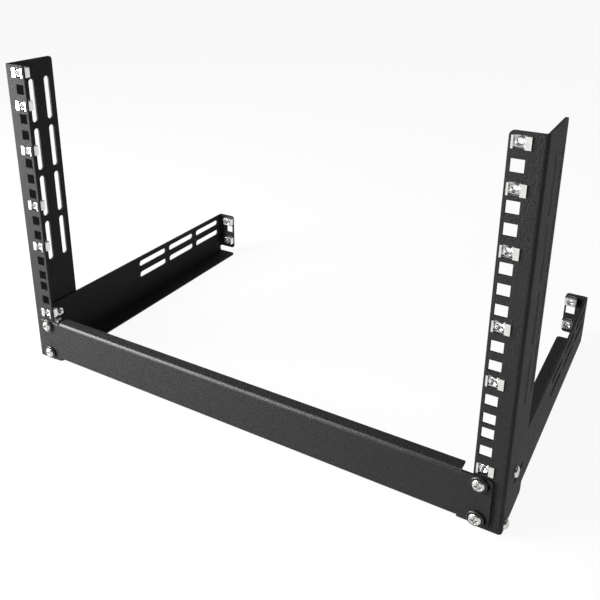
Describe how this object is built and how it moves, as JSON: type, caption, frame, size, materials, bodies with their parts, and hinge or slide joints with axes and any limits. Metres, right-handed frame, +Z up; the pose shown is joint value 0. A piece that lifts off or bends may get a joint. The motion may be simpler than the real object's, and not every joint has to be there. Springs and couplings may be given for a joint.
{
  "type": "server rack",
  "caption": "Low open desktop server rack: two folded uprights with square rack holes and cage nuts, bolted to slotted base rails and joined by a front crossbar.",
  "frame": {"origin": "centre of the bounding box at floor level", "axes": "+X to the right seen from the front, +Y towards the rear, +Z up; the equipment side faces -Y"},
  "size_m": [0.508, 0.3424, 0.3189],
  "materials": {
    "black_powder_coat": "fine-textured satin powder coat",
    "spring_steel": "bright spring sheet",
    "zinc_nut": "bright zinc plating",
    "nickel_screw": "nickel plating",
    "black_nylon": "moulded nylon"
  },
  "bodies": {
    "root": {"bar_nuts": "zinc_nut", "bar_screw_left_lower": "nickel_screw", "bar_screw_left_upper": "nickel_screw", "bar_screw_right_lower": "nickel_screw", "bar_screw_right_upper": "nickel_screw", "bar_washers": "black_nylon", "base_rail_left": "black_powder_coat", "base_rail_right": "black_powder_coat", "cages_left": "spring_steel", "cages_right": "spring_steel", "front_crossbar": "black_powder_coat", "rear_cages": "spring_steel", "rear_square_nuts": "zinc_nut", "side_nuts_left": "zinc_nut", "side_nuts_right": "zinc_nut", "side_screws_left": "nickel_screw", "side_screws_right": "nickel_screw", "square_nuts_left": "zinc_nut", "square_nuts_right": "zinc_nut", "upright_left": "black_powder_coat", "upright_right": "black_powder_coat"}
  },
  "joints": []
}
